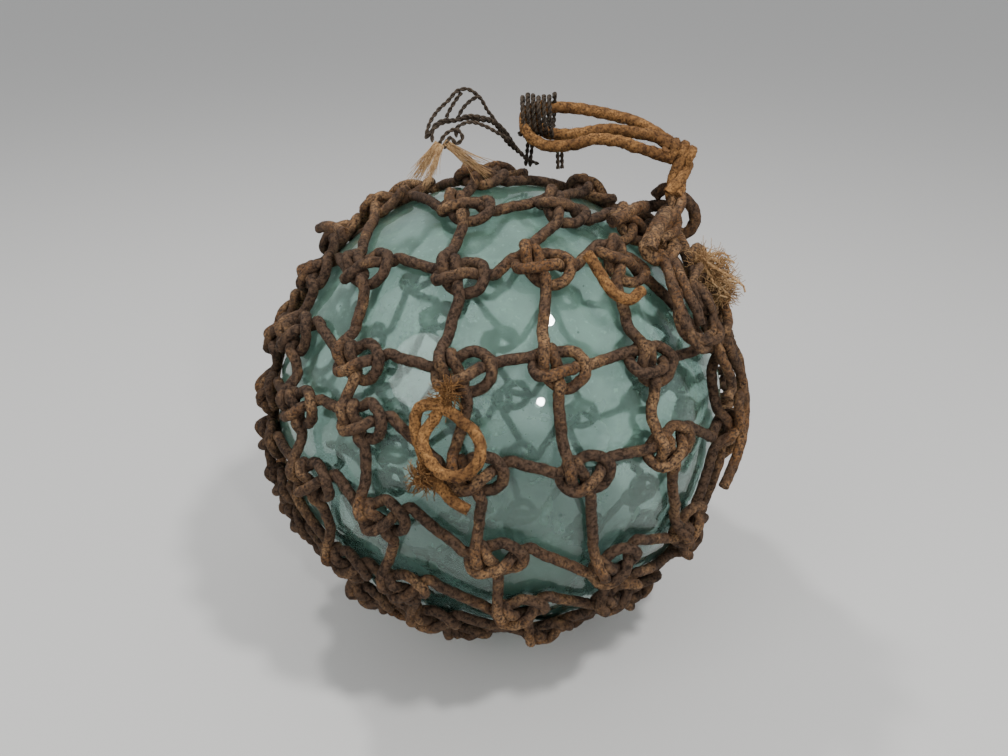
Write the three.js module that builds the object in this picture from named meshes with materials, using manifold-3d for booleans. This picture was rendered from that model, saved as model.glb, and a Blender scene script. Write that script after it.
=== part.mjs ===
// A Japanese-style glass net float: a sealed glass ball in a knotted rope net, with a rope becket
// lashed on top and a few loose ropes. Millimetres, +Z up, the front of the float towards -Y.
import * as THREE from 'three';
import { ConvexHull } from 'three/addons/math/ConvexHull.js';
import { mergeVertices } from 'three/addons/utils/BufferGeometryUtils.js';
import Module from 'manifold-3d';

const wasm = await Module();
wasm.setup();

// Driving dimensions
const GLASS_DIAMETER = 330;
const ROPE_DIAMETER = 7;
const BECKET_ROPE = 8;
const TWINE_DIAMETER = 2.6;
const GLASS_SIDES = 24;
const GLASS_BANDS = 14;
const GAP = 0.3; // left between pieces that touch
const FLAT_DEPTH = 7.8; // from the glass down to the plane that the net is pressed flat against

// The net's lattice: rings of knots about an axis that leans out of the horizontal. The angle of a
// ring is measured from the right pole, its lead turns it, and its gather crowds its knots.
const NET_AXIS = new THREE.Vector3(0.95, -0.19, 0.247).normalize();
const KNOTS_PER_RING = 18;
const ROW_STEP = 360 / KNOTS_PER_RING;
const FIRST_ROW = -4; // degrees from the top to row 0, towards the front
const GATHER_CENTRE = 60;
const GATHER_PEAK = 0.25; // crowds the knots less evenly, so that the far side keeps its spacing
const RINGS = [
  { angle: 41, lead: 5, gather: 0.5 },
  { angle: 60, lead: 2, gather: 0.24 },
  { angle: 80, lead: 0, gather: 0 },
  { angle: 102.5, lead: -12, gather: 0 },
  { angle: 120, lead: -18, gather: 0 },
  { angle: 144, lead: -30, gather: 0 },
];
// Knots that have slipped along the glass: [ring, row, towards the left pole, down the front]
const SLIPPED = [
  [0, 1, 8, 11], [0, 2, 13, 0], [0, 3, -4, -2], [0, 4, -9, -13], [0, 5, -8, 8],
  [1, 0, -8, -15], [1, 1, 0, 13], [1, 2, 8, 6], [1, 4, -4, -3], [1, 5, -6, 9], [1, 6, 4, -7],
  [3, 1, 9, -20], [3, 2, -4, 14], [3, 3, -3, 20], [3, 6, 3, 0], [3, 7, 0, -14],
  [4, 3, 8, 0], [4, 5, 0, -4], [4, 6, -5, 8],
  [5, 3, -14, 0], [5, 5, 10, 0],
];
const UNEVEN = 2.5; // how far the other knots stray
const STRAY_BY_ROW = 7.3;
const STRAY_BY_RING = 4.1;

// Each pole is closed by a ring of rope that draws the last knots together, two to a hitch
const DRAW_ANGLE = 17;

const GLASS_RADIUS = GLASS_DIAMETER / 2;
const ROPE_RADIUS = ROPE_DIAMETER / 2;
const ROPE_SIDES = 6;

// ---- frames on the glass -------------------------------------------------------------------

const UP = new THREE.Vector3(0, 0, 1);
const NET_TOP = UP.clone().addScaledVector(NET_AXIS, -UP.dot(NET_AXIS)).normalize();
const NET_FRONT = new THREE.Vector3().crossVectors(NET_AXIS, NET_TOP);
const degrees = THREE.MathUtils.degToRad;

function outward(angle, turn) {
  const around = NET_TOP.clone().multiplyScalar(Math.cos(degrees(turn)));
  around.addScaledVector(NET_FRONT, Math.sin(degrees(turn)));
  return NET_AXIS.clone().multiplyScalar(Math.cos(degrees(angle)))
    .addScaledVector(around, Math.sin(degrees(angle)));
}

// A frame that stands on the glass: x towards the right pole, y up the front, z outwards
function standOn(angle, turn) {
  const z = outward(angle, turn);
  const x = NET_AXIS.clone().addScaledVector(z, -NET_AXIS.dot(z)).normalize();
  const y = new THREE.Vector3().crossVectors(z, x);
  return { x, y, z, origin: z.clone().multiplyScalar(GLASS_RADIUS) };
}

function place(frame, x, y, z) {
  return frame.origin.clone().addScaledVector(frame.x, x)
    .addScaledVector(frame.y, y).addScaledVector(frame.z, z);
}

// How far round its ring a row stands, in degrees; a row may be a fraction
function rowTurn(ring, row) {
  const even = FIRST_ROW + ROW_STEP * row;
  const from = degrees(even - GATHER_CENTRE);
  const gathered = ring.gather * (Math.sin(from) + GATHER_PEAK * Math.sin(2 * from));
  return even + ring.lead + THREE.MathUtils.radToDeg(gathered);
}

function knotFrame(ringIndex, row) {
  const ring = RINGS[ringIndex];
  const slip = SLIPPED.find(([k, r]) => k === ringIndex && r === row);
  const stray = STRAY_BY_ROW * row + STRAY_BY_RING * ringIndex;
  const [across, down] = slip
    ? slip.slice(2)
    : [UNEVEN * Math.sin(stray), UNEVEN * Math.cos(stray)];
  const perDegree = degrees(GLASS_RADIUS);
  const turn = rowTurn(ring, row) + down / (perDegree * Math.sin(degrees(ring.angle)));
  return standOn(ring.angle + across / perDegree, turn);
}

// ---- solids --------------------------------------------------------------------------------

function toSolid(geometry) {
  const bare = geometry.clone();
  bare.deleteAttribute('normal');
  bare.deleteAttribute('uv');
  const merged = mergeVertices(bare, 1e-3);
  return new wasm.Manifold(new wasm.Mesh({
    numProp: 3,
    vertProperties: new Float32Array(merged.attributes.position.array),
    triVerts: new Uint32Array(merged.index.array),
  }));
}

function toGeometry(solid) {
  const { vertProperties, triVerts } = solid.getMesh();
  const geometry = new THREE.BufferGeometry();
  geometry.setAttribute('position', new THREE.BufferAttribute(new Float32Array(vertProperties), 3));
  geometry.setIndex(new THREE.BufferAttribute(new Uint32Array(triVerts), 1));
  return geometry;
}

function largestBody(solid) {
  return solid.decompose().reduce((best, body) => (body.volume() > best.volume() ? body : best));
}

function ropeSection(radius, sides) {
  const shape = new THREE.Shape();
  for (let i = 0; i < sides; i += 1) {
    const turn = (2 * Math.PI * i) / sides;
    const method = i === 0 ? 'moveTo' : 'lineTo';
    shape[method](radius * Math.cos(turn), radius * Math.sin(turn));
  }
  shape.closePath();
  return shape;
}

// A length of rope through points given from the middle of the glass
function rope(points, diameter, steps, sides = ROPE_SIDES, closed = false) {
  const curve = new THREE.CatmullRomCurve3(points.map((p) => new THREE.Vector3(...p)), closed);
  const section = ropeSection(diameter / 2, sides);
  return toSolid(new THREE.ExtrudeGeometry(section, { steps, extrudePath: curve, bevelEnabled: false }));
}

// A round piece turned about the line from one point towards another
function turned(profile, from, towards, sides) {
  const points = profile.map(([radius, along]) => new THREE.Vector2(radius, along));
  const geometry = new THREE.LatheGeometry(points, sides);
  const axis = new THREE.Vector3(...towards).sub(new THREE.Vector3(...from)).normalize();
  geometry.applyQuaternion(new THREE.Quaternion().setFromUnitVectors(new THREE.Vector3(0, 1, 0), axis));
  geometry.translate(...from);
  return toSolid(geometry);
}

// ---- the net -------------------------------------------------------------------------------

// Where the four legs leave a knot, in rope diameters: x, y and the way out
const KNOT_PORTS = {
  left: { x: -2.5, y: 0.4, way: [-1, 0] },
  right: { x: 2.6, y: 0.3, way: [1, 0] },
  up: { x: -0.7, y: 1.5, way: [0, 1] },
  down: { x: 0.4, y: -1.4, way: [0, -1] },
};
const HITCH_PORTS = {
  back: { x: 0.5, y: 1.35, way: [0, 1] },
  on: { x: 0.5, y: -1.35, way: [0, -1] },
  upper: { x: -1.3, y: 0.7, way: [-0.9, 0.45] },
  lower: { x: -1.3, y: -0.7, way: [-0.9, -0.45] },
};
const WAY_WEIGHT = 6; // how firmly a leg's end faces its knot rather than down the leg
const LEG_HEIGHT = 0.9; // middle of a leg above the glass, in rope diameters
const KNOT_HEIGHT = 2.1;
const KNOT_CROWN = [[-1.2, 0.7], [1.4, 0.8], [1.5, -0.6], [-1, -0.8]];
const HITCH_CROWN = [[-0.5, 0.5], [0.4, 0.5], [0.4, -0.5], [-0.5, -0.5]];

// The net is drawn as one skin: a ring of corners at each end of every leg, a leg's side faces
// between two rings, and round each knot the convex hull of its rings, open where the legs leave.
class NetSkin {
  constructor(diameter) {
    this.diameter = diameter;
    this.corners = [];
    this.faces = [];
  }

  knot(frame, ports, crown, crownHeight, mirror = 1) {
    return { frame, ports, crown, crownHeight, mirror, rings: {} };
  }

  portPoint(knot, name) {
    const { x, y } = knot.ports[name];
    const across = knot.mirror * x * ROPE_DIAMETER;
    return place(knot.frame, across, y * ROPE_DIAMETER, LEG_HEIGHT * ROPE_DIAMETER);
  }

  ring(knot, name, leg) {
    const centre = this.portPoint(knot, name);
    const [wayX, wayY] = knot.ports[name].way;
    const way = new THREE.Vector3().addScaledVector(knot.frame.x, knot.mirror * wayX);
    way.addScaledVector(knot.frame.y, wayY).normalize();
    const out = leg.dot(way) < 0 ? leg.clone().negate() : leg.clone();
    out.addScaledVector(way, WAY_WEIGHT).normalize();
    const towards = leg.dot(out) < 0 ? out.clone().negate() : out;
    const height = centre.clone().normalize();
    height.addScaledVector(towards, -height.dot(towards)).normalize();
    const side = new THREE.Vector3().crossVectors(towards, height);
    const indices = [];
    for (let i = 0; i < ROPE_SIDES; i += 1) {
      const turn = (2 * Math.PI * (i + 0.5)) / ROPE_SIDES;
      const corner = centre.clone().addScaledVector(height, (this.diameter / 2) * Math.cos(turn));
      corner.addScaledVector(side, (this.diameter / 2) * Math.sin(turn));
      indices.push(this.corners.push(corner) - 1);
    }
    knot.rings[name] = indices;
    return indices;
  }

  leg(knotA, portA, knotB, portB) {
    const along = this.portPoint(knotB, portB).sub(this.portPoint(knotA, portA)).normalize();
    const a = this.ring(knotA, portA, along);
    const b = this.ring(knotB, portB, along);
    for (let i = 0; i < ROPE_SIDES; i += 1) {
      const next = (i + 1) % ROPE_SIDES;
      this.faces.push([a[i], a[next], b[next]], [a[i], b[next], b[i]]);
    }
  }

  close(knot) {
    const grown = this.diameter - ROPE_DIAMETER;
    const crown = knot.crown.map(([x, y]) => this.corners.push(place(
      knot.frame,
      knot.mirror * x * ROPE_DIAMETER,
      y * ROPE_DIAMETER,
      knot.crownHeight * ROPE_DIAMETER + grown,
    )) - 1);
    const rings = Object.values(knot.rings);
    const indices = [...rings.flat(), ...crown];
    const hull = new ConvexHull().setFromPoints(indices.map((i) => this.corners[i]));
    const indexOf = new Map(indices.map((i) => [this.corners[i], i]));
    for (const face of hull.faces) {
      const triangle = [];
      let edge = face.edge;
      do {
        triangle.push(indexOf.get(edge.head().point));
        edge = edge.next;
      } while (edge !== face.edge);
      const covers = rings.some((ring) => triangle.every((i) => ring.includes(i)));
      if (!covers) this.faces.push(triangle);
    }
  }

  solid() {
    const geometry = new THREE.BufferGeometry();
    const positions = this.corners.flatMap((corner) => corner.toArray());
    geometry.setAttribute('position', new THREE.Float32BufferAttribute(positions, 3));
    geometry.setIndex(this.faces.flat());
    return toSolid(geometry);
  }
}

function netSolid(diameter) {
  const skin = new NetSkin(diameter);
  const knots = RINGS.map((ring, k) => Array.from({ length: KNOTS_PER_RING }, (_, row) => (
    skin.knot(knotFrame(k, row), KNOT_PORTS, KNOT_CROWN, KNOT_HEIGHT))));
  for (let row = 0; row < KNOTS_PER_RING; row += 1) {
    const nextRow = (row + 1) % KNOTS_PER_RING;
    RINGS.forEach((ring, k) => {
      skin.leg(knots[k][row], 'down', knots[k][nextRow], 'up');
      if (k > 0) skin.leg(knots[k][row], 'right', knots[k - 1][row], 'left');
    });
  }
  for (const [last, port, angle, mirror] of [[0, 'right', DRAW_ANGLE, 1],
    [RINGS.length - 1, 'left', 180 - DRAW_ANGLE, -1]]) {
    const hitches = [];
    for (let row = 0; row < KNOTS_PER_RING; row += 2) {
      const frame = standOn(angle, rowTurn(RINGS[last], row + 0.5));
      hitches.push(skin.knot(frame, HITCH_PORTS, HITCH_CROWN, 1.5, mirror));
    }
    hitches.forEach((hitch, i) => {
      const next = hitches[(i + 1) % hitches.length];
      skin.leg(hitch, 'on', next, 'back');
      skin.leg(hitch, 'upper', knots[last][2 * i], port);
      skin.leg(hitch, 'lower', knots[last][2 * i + 1], port);
    });
    hitches.forEach((hitch) => skin.close(hitch));
  }
  knots.flat().forEach((knot) => skin.close(knot));
  return skin.solid();
}

// ---- loose ropes and twine -----------------------------------------------------------------
// Routes are points in millimetres from the middle of the glass.

// The becket: a doubled rope that turns back inside the lashing, a second rope in front of it, a
// lumpy end, and a thick neck hitched into the net
const BECKET_BACK = [
  [122, 20, 190], [109, 27, 198], [96, 33, 204], [77, 40, 208], [56, 40, 212], [40, 40, 213],
  [29, 37, 212], [24, 32, 206], [31, 28, 199], [47, 28, 197], [76, 26, 201], [95, 22, 199],
  [108, 19, 197], [117, 15, 191],
];
const BECKET_FRONT = [
  [30, 26, 217], [20, 24, 214], [17, 22, 207], [19, 18, 200], [31, 14, 193], [50, 11, 194],
  [63, 9, 198], [80, 7, 197], [93, 7, 193], [106, 7, 189], [117, 8, 185],
];
const BECKET_NECK = [[125, 10, 188], [123, 5, 178], [120, -2, 170], [116, -8, 164]];
const BECKET_HITCH = [
  [112, -8, 166], [122, -4, 163], [133, 4, 155], [137, 10, 145], [135, 12, 134],
];
const BECKET_DOUBLE = [[120, -6, 164], [119, -18, 155], [112, -32, 147], [104, -46, 143]];
const NECK_DIAMETER = 15;
const HITCH_ROPE = 11;
const LUMP = [[0, -9], [6, -7.5], [9, -3], [9, 3], [6, 7.5], [0, 9]];

// The lashing: turns of twine round the becket's left end, drawn here as one barrel, and the
// twine's two legs down to the net
const LASHING_BARREL = [[0, 0], [9, 0], [14, 5], [15, 13], [14, 21], [9, 26], [0, 26]];
const LASHING_START = [15, 30, 207];
const LASHING_LEGS = [
  [[22, 28, 199], [21, 31, 186], [20, 33, 174]],
  [[40, 29, 200], [42, 31, 186], [43, 33, 172]],
];

const TWINE_TAIL = [
  [20, 36, 178], [12, 32, 185], [5, 28, 192], [-1, 25, 202], [-4, 22, 209], [-8, 18, 215],
  [-13, 15, 224], [-21, 12, 230], [-28, 10, 229], [-33, 8, 224], [-41, 5, 217], [-46, 1, 210],
  [-48, -4, 202], [-45, -7, 206], [-38, -4, 211], [-29, 0, 212], [-20, 3, 213], [-13, 7, 211],
  [-6, 12, 209], [0, 18, 203], [8, 25, 192], [16, 29, 183],
];
const FRAYS = [
  { from: [-40, -9, 200], to: [-56, -14, 177], spread: 4 },
  { from: [-38, -11, 199], to: [-47, -23, 177], spread: 4 },
  { from: [-36, -8, 200], to: [-8, -4, 179], spread: 5 },
];

// A golden rope looped over the front of the net, its two frayed ends together at the upper left
const FRONT_TIE = [
  [-30, -156, 90], [-36, -159, 80], [-43, -162, 69], [-41, -168, 61], [-34, -174, 54],
  [-27, -178, 53], [-18, -180, 56], [-11, -179, 64], [-10, -174, 70], [-13, -169, 76],
  [-20, -164, 80], [-28, -163, 84], [-38, -162, 86], [-46, -160, 80], [-51, -161, 70],
  [-49, -166, 59], [-44, -171, 47], [-37, -176, 39], [-28, -180, 31],
];

// Where the right end of the net is drawn together: a bight that hangs over the glass, and the
// rope's run down the edge
const SIDE_BIGHT = [
  [113, -50, 143], [109, -62, 139], [109, -72, 131], [111, -84, 122], [113, -98, 110],
  [119, -102, 100], [129, -96, 95], [138, -83, 97], [136, -74, 105], [129, -73, 115],
  [124, -68, 124], [127, -54, 131],
];
const SIDE_BIGHT_ROPE = 10;
const SIDE_RUN = [
  [146, -78, 90], [152, -76, 78], [159, -72, 65], [164, -71, 50], [166, -74, 34], [164, -82, 18],
  [158, -93, 6], [149, -107, -4],
];
const LOOSE_END = [
  [53, -88, 152], [58, -93, 146], [63, -99, 139], [69, -105, 133], [77, -106, 130], [86, -99, 133],
];
const LEFT_END = [[-129, 17, 133], [-122, 4, 139], [-112, -16, 145], [-101, -38, 148]];
const FRAYED_TAIL = [[0, 0], [5, 0], [7, 7], [13, 15], [16, 24], [12, 32], [5, 36], [0, 36]];
const TAIL_START = [132, -40, 128];
const TAIL_END = [168, -22, 110];

function union(solids) {
  return solids.reduce((whole, solid) => whole.add(solid));
}

function becketSolid(grown) {
  const diameter = BECKET_ROPE + grown;
  return union([
    rope(BECKET_BACK, diameter, 16),
    rope(BECKET_FRONT, diameter, 12),
    rope(BECKET_NECK, NECK_DIAMETER + grown, 4, 8),
    rope(BECKET_HITCH, HITCH_ROPE + grown, 7),
    rope(BECKET_DOUBLE, HITCH_ROPE + grown, 5),
    turned(LUMP, [124, 10, 187], [130, 8, 183], 8),
  ]);
}

function lashingSolid() {
  const [x, y, z] = LASHING_START;
  const barrel = turned(LASHING_BARREL, LASHING_START, [x + 1, y, z], 12);
  return union([barrel, ...LASHING_LEGS.map((leg) => rope(leg, TWINE_DIAMETER, 3, 5))]);
}

function frayedTwineSolid() {
  return union(FRAYS.map(({ from, to, spread }) => {
    const length = new THREE.Vector3(...to).distanceTo(new THREE.Vector3(...from));
    const profile = [[0, -2], [2.5, -2], [2, 3], [spread, length], [0, length]];
    return turned(profile, from, to, 6);
  }));
}

// ---- the float -----------------------------------------------------------------------------

function ball(radius) {
  const geometry = new THREE.SphereGeometry(radius, GLASS_SIDES, GLASS_BANDS);
  return toSolid(geometry.rotateX(Math.PI / 2));
}

const glass = ball(GLASS_RADIUS);
const glassClearance = ball(GLASS_RADIUS + 2 * GAP);
const netClearance = netSolid(ROPE_DIAMETER + 2 * GAP);
const restHeight = GLASS_RADIUS + FLAT_DEPTH;

const below = new THREE.BoxGeometry(GLASS_DIAMETER, GLASS_DIAMETER, GLASS_DIAMETER);
below.translate(0, 0, -restHeight - GLASS_RADIUS);

function clearOfNet(solid, ...others) {
  const cleared = solid.subtract(netClearance).subtract(glassClearance);
  return largestBody(others.reduce((left, other) => left.subtract(other), cleared));
}

const becketClearance = becketSolid(2 * GAP);
const twineTail = rope(TWINE_TAIL, TWINE_DIAMETER, 26, 5);
const twineClearance = rope(TWINE_TAIL, TWINE_DIAMETER + 2 * GAP, 26, 5);
const lashing = clearOfNet(lashingSolid(), becketClearance);

const tarred = 0x33291f;
const darkRope = 0x4a3a2c;
const pieces = [
  { name: 'glass_ball', solid: glass, color: 0x7fb5a8, roughness: 0.06 },
  { name: 'net', solid: netSolid(ROPE_DIAMETER).subtract(toSolid(below)), color: darkRope },
  { name: 'becket', solid: clearOfNet(becketSolid(0)), color: 0x80592f },
  { name: 'becket_lashing', solid: lashing, color: tarred },
  { name: 'twine_tail', free: true, solid: clearOfNet(twineTail, lashing), color: tarred },
  {
    name: 'frayed_twine',
    free: true,
    solid: clearOfNet(frayedTwineSolid(), twineClearance),
    color: 0x8a7358,
  },
  {
    name: 'front_tie',
    free: true,
    solid: clearOfNet(rope(FRONT_TIE, ROPE_DIAMETER, 24)),
    color: 0x8a5c30,
  },
  {
    name: 'side_bight',
    free: true,
    solid: clearOfNet(rope(SIDE_BIGHT, SIDE_BIGHT_ROPE, 16), becketClearance),
    color: darkRope,
  },
  { name: 'side_run', solid: clearOfNet(rope(SIDE_RUN, ROPE_DIAMETER, 10)), color: darkRope },
  {
    name: 'loose_end',
    free: true,
    solid: clearOfNet(rope(LOOSE_END, ROPE_DIAMETER, 7)),
    color: 0x6e4c30,
  },
  { name: 'left_end', solid: clearOfNet(rope(LEFT_END, ROPE_DIAMETER, 5)), color: 0x5a4432 },
  {
    name: 'frayed_tail',
    solid: clearOfNet(turned(FRAYED_TAIL, TAIL_START, TAIL_END, 8), becketClearance),
    color: 0xa9824a,
  },
];

// The float stands at the middle of its footprint, on the flat pressed into the net
const float = new THREE.Group();
for (const { name, solid, color, roughness = 0.95 } of pieces) {
  const material = new THREE.MeshStandardMaterial({ color, roughness, metalness: 0 });
  const mesh = new THREE.Mesh(toGeometry(solid), material);
  mesh.name = name;
  float.add(mesh);
}
const held = pieces.filter(({ free }) => !free).map(({ solid }) => solid.boundingBox());
const middle = (axis) => (Math.min(...held.map(({ min }) => min[axis]))
  + Math.max(...held.map(({ max }) => max[axis]))) / 2;
float.position.set(-middle(0), -middle(1), restHeight);

export default float;
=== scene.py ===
"""A glass net float: a sealed, hand-blown glass ball in a knotted rope net, with a rope becket
lashed on top, a frayed length of twine, and a few loose ropes. Metres, +Z up, the front towards -Y.
"""

import math

import bpy
import numpy as np
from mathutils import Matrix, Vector


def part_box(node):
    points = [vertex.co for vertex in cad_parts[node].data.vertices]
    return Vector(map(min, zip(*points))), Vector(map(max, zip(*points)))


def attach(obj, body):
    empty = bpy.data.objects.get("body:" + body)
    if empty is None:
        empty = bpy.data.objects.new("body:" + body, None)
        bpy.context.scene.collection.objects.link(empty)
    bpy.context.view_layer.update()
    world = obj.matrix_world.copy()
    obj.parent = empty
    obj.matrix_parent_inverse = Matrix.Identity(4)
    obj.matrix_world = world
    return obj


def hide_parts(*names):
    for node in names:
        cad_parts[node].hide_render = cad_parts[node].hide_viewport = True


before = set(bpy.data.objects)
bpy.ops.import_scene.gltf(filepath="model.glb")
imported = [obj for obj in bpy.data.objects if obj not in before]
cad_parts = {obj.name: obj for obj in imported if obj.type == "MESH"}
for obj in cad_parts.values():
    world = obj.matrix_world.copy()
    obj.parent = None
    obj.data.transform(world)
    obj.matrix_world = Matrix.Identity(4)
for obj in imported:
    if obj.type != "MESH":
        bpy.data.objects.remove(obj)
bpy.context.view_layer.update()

bl_info = {
    "name": "Glass net float",
    "version": (1, 0, 0),
    "blender": (4, 5, 0),
    "location": "3D View > Sidebar > Net Float",
    "description": "Makes a glass fishing float in its knotted net, with its becket and loose ropes",
    "category": "Add Mesh",
}

MM = 0.001
TAU = 2 * math.pi

# ---- the frame's measures ------------------------------------------------------------------

BALL_LOW, BALL_HIGH = (np.array(corner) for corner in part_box("glass_ball"))
CENTRE = (BALL_LOW + BALL_HIGH) / 2
GLASS_RADIUS = float(BALL_HIGH[0] - BALL_LOW[0]) / 2

ROPE = 7.0 * MM
BECKET_ROPE = 8.0 * MM
SIDE_ROPE = 10.0 * MM
TWINE = 2.6 * MM

# ---- the net's lattice: rings of knots about an axis that leans out of the horizontal ---------

KNOTS_PER_RING = 18
NET_PIECES = 5  # how many pieces the net is shared out between
ROW_STEP = 360 / KNOTS_PER_RING
FIRST_ROW = -4  # degrees from the top to row 0, towards the front
GATHER_CENTRE = 60
GATHER_PEAK = 0.25
RINGS = [  # angle from the right pole, lead and gather
    (41, 5, 0.5), (60, 2, 0.24), (80, 0, 0), (102.5, -12, 0), (120, -18, 0), (144, -30, 0),
]
SLIPPED = {  # (ring, row): millimetres towards the left pole, and down the front
    (0, 1): (8, 11), (0, 2): (13, 0), (0, 3): (-4, -2), (0, 4): (-9, -13), (0, 5): (-8, 8),
    (1, 0): (-8, -15), (1, 1): (0, 13), (1, 2): (8, 6), (1, 4): (-4, -3), (1, 5): (-6, 9),
    (1, 6): (4, -7), (3, 1): (9, -20), (3, 2): (-4, 14), (3, 3): (-3, 20), (3, 6): (3, 0),
    (3, 7): (0, -14), (4, 3): (8, 0), (4, 5): (0, -4), (4, 6): (-5, 8), (5, 3): (-14, 0),
    (5, 5): (10, 0),
}
UNEVEN = 2.5
DRAW_ANGLE = 17

# A sheet bend, in rope diameters: across towards the right pole, up the front, and above the
# glass. The bight joins the left leg to the upper one, and the working part the lower leg to
# the right one.
BIGHT = [
    (-2.5, 0.95, 0.75), (-2.0, 1.0, 1.1), (-1.6, 1.05, 1.35), (-0.6, 1.2, 0.75), (0.1, 1.45, 0.7),
    (0.9, 1.5, 0.8), (1.7, 1.05, 1.1), (2.15, 0.3, 1.35), (2.1, -0.5, 1.2), (1.6, -1.2, 0.85),
    (0.9, -1.55, 0.6), (0.3, -1.6, 0.5), (-0.3, -1.4, 0.5), (-0.9, -1.0, 0.6), (-1.35, -0.5, 1.0),
    (-1.55, 0.2, 1.7), (-1.55, 1.0, 2.25), (-1.45, 1.9, 1.6),
]
WORKING = [
    (-0.1, -2.3, 0.9), (-0.2, -1.35, 1.45), (-0.25, -0.6, 0.9), (-0.4, 0, 1.2),
    (-0.65, 0.9, 1.75), (-0.75, 1.45, 1.5), (-1.05, 1.55, 0.8), (-1.75, 0.9, 0.45),
    (-2.2, 0.45, 0.6), (-2.3, -0.15, 1.0), (-2.0, -0.65, 1.55), (-1.4, -0.8, 1.9),
    (-0.6, -0.65, 2.0), (0.2, -0.4, 1.95), (0.9, -0.1, 1.5), (1.5, 0.15, 0.8), (2.3, 0.35, 0.45),
    (2.8, 0.45, 0.5),
]
KNOT_PRESS = 0.88  # how far the knots are pressed down on the glass
HITCH = [  # a bight that hangs on the rope that draws a pole together
    (-1.9, 0.85, 0.6), (-1.0, 0.62, 0.5), (-0.1, 0.5, 0.5), (0.8, 0.38, 0.55), (1.55, 0.2, 1.0),
    (1.7, 0.0, 1.5), (1.4, -0.15, 2.05), (0.5, -0.35, 2.3), (-0.4, -0.5, 1.9), (-1.1, -0.65, 1.1),
    (-1.9, -0.85, 0.65),
]
DRAW_ROPE = [(0.5, 1.9, 0.8), (0.5, 0.6, 1.38), (0.5, -0.6, 1.4), (0.5, -1.9, 0.8)]

# ---- the routes of the loose ropes, in millimetres from the middle of the glass ---------------

BECKET_BACK = [
    (122, 20, 190), (109, 27, 198), (96, 33, 204), (77, 40, 208), (56, 40, 212), (40, 40, 213),
    (29, 37, 212), (24, 32, 206), (31, 28, 199), (47, 28, 197), (76, 26, 201), (95, 22, 199),
    (108, 19, 197), (117, 15, 191),
]
BECKET_FRONT = [
    (30, 26, 217), (20, 24, 214), (17, 22, 207), (19, 18, 200), (31, 14, 193), (50, 11, 194),
    (63, 9, 198), (80, 7, 197), (93, 7, 193), (106, 7, 189), (117, 8, 185),
]
BECKET_NECK = [(125, 10, 188), (123, 5, 178), (120, -2, 170), (116, -8, 164)]
BECKET_HITCH = [(112, -8, 166), (122, -4, 163), (133, 4, 155), (137, 10, 145), (135, 12, 134)]
BECKET_DOUBLE = [(120, -6, 164), (119, -18, 155), (112, -32, 147), (104, -46, 143)]
LASHING_START = (15, 30, 207)
LASHING_LEGS = [
    [(22, 28, 199), (21, 31, 186), (20, 33, 174)],
    [(40, 29, 200), (42, 31, 186), (43, 33, 172)],
]
TWINE_TAIL = [
    (20, 36, 178), (12, 32, 185), (5, 28, 192), (-1, 25, 202), (-4, 22, 209), (-8, 18, 215),
    (-13, 15, 224), (-21, 12, 230), (-28, 10, 229), (-33, 8, 224), (-41, 5, 217), (-46, 1, 210),
    (-48, -4, 202), (-45, -7, 206), (-38, -4, 211), (-29, 0, 212), (-20, 3, 213), (-13, 7, 211),
    (-6, 12, 209), (0, 18, 203), (8, 25, 192), (16, 29, 183),
]
FRAYED_TWINE = [  # from, to, spread
    ((-40, -9, 200), (-56, -14, 177), 4),
    ((-38, -11, 199), (-47, -23, 177), 4),
    ((-36, -8, 200), (-8, -4, 179), 5),
]
FRONT_TIE = [
    (-30, -156, 90), (-36, -159, 80), (-43, -162, 69), (-41, -168, 61), (-34, -174, 54),
    (-27, -178, 53), (-18, -180, 56), (-11, -179, 64), (-10, -174, 70), (-13, -169, 76),
    (-20, -164, 80), (-28, -160, 85), (-38, -156, 87), (-46, -153, 82), (-48, -155, 72),
    (-45, -160, 60), (-40, -166, 49), (-33, -172, 41), (-26, -177, 35), (-17, -180, 31),
]
SIDE_BIGHT = [
    (113, -50, 143), (109, -62, 139), (109, -72, 131), (111, -84, 122), (113, -98, 110),
    (119, -102, 100), (129, -96, 95), (138, -83, 97), (136, -74, 105), (129, -73, 115),
    (124, -68, 124), (127, -54, 131),
]
SIDE_RUN = [
    (146, -78, 90), (152, -76, 78), (159, -72, 65), (164, -71, 50), (166, -74, 34), (164, -82, 18),
    (158, -93, 6), (149, -107, -4),
]
LOOSE_END = [
    (53, -88, 152), (58, -93, 146), (63, -99, 139), (69, -105, 133), (77, -106, 130), (86, -99, 133),
]
LEFT_END = [(-129, 17, 133), (-122, 4, 139), (-112, -16, 145), (-101, -38, 148)]
TAIL_START = (131, -45, 135)
TAIL_END = (153, -40, 103)

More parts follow.
